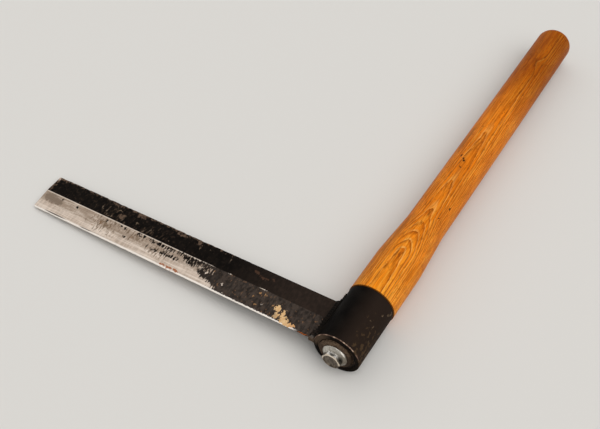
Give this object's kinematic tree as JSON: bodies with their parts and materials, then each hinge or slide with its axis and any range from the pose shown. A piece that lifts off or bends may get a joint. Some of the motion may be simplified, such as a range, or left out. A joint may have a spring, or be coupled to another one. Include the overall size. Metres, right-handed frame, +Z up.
{
  "type": "froe",
  "caption": "Splitting froe: straight double-bevelled blade welded to a tube socket, with a turned wooden handle drawn into the socket by a lag screw.",
  "frame": {"origin": "on the floor under the middle of the tool's bounding box, with the tool lying on its side", "axes": "+Y along the handle to its free end, -X out along the blade to its tip, +Z up from the floor"},
  "size_m": [0.3472, 0.467, 0.0417],
  "materials": {
    "blade_steel": "satin",
    "black_steel": "satin",
    "varnished_ash": "satin",
    "rusted_steel": "matte",
    "zinc_plate": "satin"
  },
  "bodies": {
    "root": {"blade": "blade_steel", "blade_weld": "black_steel", "socket": "black_steel", "base_plate": "black_steel", "base_weld": "black_steel", "handle": "varnished_ash", "washer": "rusted_steel", "lag_screw": "zinc_plate"}
  },
  "joints": []
}
